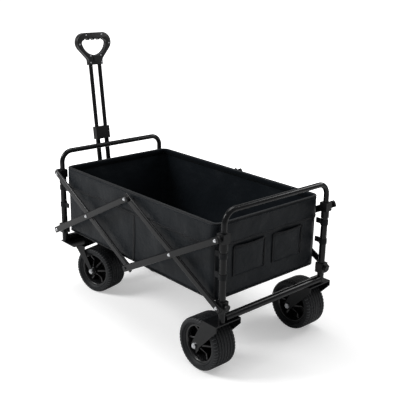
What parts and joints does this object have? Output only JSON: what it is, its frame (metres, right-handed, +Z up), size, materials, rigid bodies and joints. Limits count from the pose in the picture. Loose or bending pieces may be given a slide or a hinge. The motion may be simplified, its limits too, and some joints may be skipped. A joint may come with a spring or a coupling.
{
  "type": "folding camp wagon",
  "caption": "Folding four-wheeled fabric cargo wagon with scissor-link steel frame, front casters and telescoping pull handle.",
  "frame": {"origin": "centre of the bounding box on the ground the wheels stand on", "axes": "+X to the rear end of the wagon (the pull handle is at -X), +Y across it, +Z up from the ground"},
  "size_m": [1.0738, 0.571, 0.9835],
  "materials": {
    "frame_paint": "semi-gloss black powder coat",
    "bracket_plastic": "fine matte black",
    "grip_plastic": "satin black, moulded",
    "hub_plastic": "matte black",
    "tyre_rubber": "dark grey tread rubber",
    "basket_fabric": "charcoal woven polyester",
    "mat_fabric": "charcoal woven polyester over board",
    "bright_metal": "zinc plated"
  },
  "bodies": {
    "rear_base": {"rear_beam": "frame_paint", "rear_fork_near": "frame_paint", "rear_fork_far": "frame_paint", "rear_sleeves": "frame_paint", "rear_collars": "bracket_plastic", "rear_lower_brackets": "bracket_plastic", "rear_lower_pins": "bright_metal", "rear_axle_near": "bright_metal", "rear_axle_far": "bright_metal", "rear_straps": "basket_fabric", "basket_tub": "basket_fabric", "floor_mat": "mat_fabric", "rear_pockets": "basket_fabric"},
    "arm_a": {"bar_a_near": "frame_paint", "bar_a_far": "frame_paint", "arm_a_rivets": "bright_metal"},
    "arm_b": {"bar_b_near": "frame_paint", "bar_b_far": "frame_paint", "arm_b_rivets": "bright_metal"},
    "arm_c": {"bar_c_near": "frame_paint", "bar_c_far": "frame_paint", "bottom_cross_tube": "frame_paint"},
    "arm_d": {"bar_d_near": "frame_paint", "bar_d_far": "frame_paint"},
    "rear_u": {"rear_u_frame": "frame_paint", "rear_u_brackets": "bracket_plastic", "rear_u_pins": "bright_metal"},
    "front_u": {"front_u_frame": "frame_paint", "front_u_brackets": "bracket_plastic", "front_u_pins": "bright_metal"},
    "front_base": {"front_beam": "frame_paint", "front_sleeves": "frame_paint", "front_collars": "bracket_plastic", "front_lower_brackets": "bracket_plastic", "front_lower_pins": "bright_metal", "front_decks": "frame_paint", "front_straps": "basket_fabric", "caster_housings": "frame_paint", "handle_bracket": "frame_paint"},
    "caster_near": {"caster_fork_near": "frame_paint", "front_axle_near": "bright_metal"},
    "caster_far": {"caster_fork_far": "frame_paint", "front_axle_far": "bright_metal"},
    "rear_wheel_near": {"tyre_rear_near": "tyre_rubber", "hub_rear_near": "hub_plastic"},
    "rear_wheel_far": {"tyre_rear_far": "tyre_rubber", "hub_rear_far": "hub_plastic"},
    "front_wheel_near": {"tyre_front_near": "tyre_rubber", "hub_front_near": "hub_plastic"},
    "front_wheel_far": {"tyre_front_far": "tyre_rubber", "hub_front_far": "hub_plastic"},
    "handle": {"handle_foot": "bracket_plastic", "handle_lower_tubes": "frame_paint", "handle_clamp": "bracket_plastic"},
    "handle_top": {"handle_upper_tubes": "frame_paint", "grip_front": "grip_plastic", "grip_back": "grip_plastic", "grip_screws": "bright_metal"},
    "grip_button": {"grip_button": "grip_plastic"}
  },
  "joints": [
    {"name": "fold", "type": "hinge", "parent": "rear_base", "child": "arm_a", "pos_m": [0.50994, 0, 0.248], "axis": [0, 1, 0], "range_deg": [0, 39], "deforming": ["basket_tub", "floor_mat", "rear_pockets"]},
    {"name": "cross_rear", "type": "hinge", "parent": "arm_a", "child": "arm_c", "pos_m": [0.29794, 0, 0.36], "axis": [0, 1, 0], "range_deg": [-78.5, 0.5]},
    {"name": "centre_top", "type": "hinge", "parent": "arm_a", "child": "arm_b", "pos_m": [0.05794, 0, 0.48679], "axis": [0, 1, 0], "range_deg": [-78.5, 0.5]},
    {"name": "cross_front", "type": "hinge", "parent": "arm_b", "child": "arm_d", "pos_m": [-0.18206, 0, 0.36], "axis": [0, 1, 0], "range_deg": [-0.5, 78.5]},
    {"name": "rear_u_pivot", "type": "hinge", "parent": "arm_c", "child": "rear_u", "pos_m": [0.50994, 0, 0.472], "axis": [0, 1, 0], "range_deg": [-0.5, 39.5]},
    {"name": "front_base_pivot", "type": "hinge", "parent": "arm_b", "child": "front_base", "pos_m": [-0.39406, 0, 0.248], "axis": [0, 1, 0], "range_deg": [-0.5, 39.5]},
    {"name": "front_u_pivot", "type": "hinge", "parent": "arm_d", "child": "front_u", "pos_m": [-0.39406, 0, 0.472], "axis": [0, 1, 0], "range_deg": [-39.5, 0.5]},
    {"name": "caster_swivel_near", "type": "hinge", "parent": "front_base", "child": "caster_near", "pos_m": [-0.34606, -0.162, 0.19], "axis": [0, 0, 1], "continuous": true},
    {"name": "front_wheel_spin_near", "type": "hinge", "parent": "caster_near", "child": "front_wheel_near", "pos_m": [-0.2815, -0.14828, 0.09], "axis": [-0.2079, 0.9781, 0], "continuous": true},
    {"name": "rear_wheel_spin_near", "type": "hinge", "parent": "rear_base", "child": "rear_wheel_near", "pos_m": [0.42894, -0.222, 0.09], "axis": [0, 1, 0], "continuous": true},
    {"name": "caster_swivel_far", "type": "hinge", "parent": "front_base", "child": "caster_far", "pos_m": [-0.34606, 0.162, 0.19], "axis": [0, 0, 1], "continuous": true},
    {"name": "front_wheel_spin_far", "type": "hinge", "parent": "caster_far", "child": "front_wheel_far", "pos_m": [-0.2815, 0.14828, 0.09], "axis": [0.2079, 0.9781, 0], "continuous": true},
    {"name": "rear_wheel_spin_far", "type": "hinge", "parent": "rear_base", "child": "rear_wheel_far", "pos_m": [0.42894, 0.222, 0.09], "axis": [0, 1, 0], "continuous": true},
    {"name": "handle_tilt", "type": "hinge", "parent": "front_base", "child": "handle", "pos_m": [-0.42406, 0, 0.2045], "axis": [0, -1, 0], "range_deg": [-7, 80]},
    {"name": "handle_telescope", "type": "slide", "parent": "handle", "child": "handle_top", "axis": [-0.1288, 0, 0.9917], "range_m": [-0.235, 0]},
    {"name": "grip_button_press", "type": "slide", "parent": "handle_top", "child": "grip_button", "axis": [-0.9917, 0, -0.1288], "range_m": [0, 0.0025], "stiffness_N_per_m": 600, "springref_m": -0.001}
  ],
  "couplings": [
    {"joint": "cross_rear", "follows": "fold", "ratio": -2},
    {"joint": "centre_top", "follows": "fold", "ratio": -2},
    {"joint": "cross_front", "follows": "fold", "ratio": 2},
    {"joint": "rear_u_pivot", "follows": "fold", "ratio": 1},
    {"joint": "front_base_pivot", "follows": "fold", "ratio": 1},
    {"joint": "front_u_pivot", "follows": "fold", "ratio": -1}
  ]
}
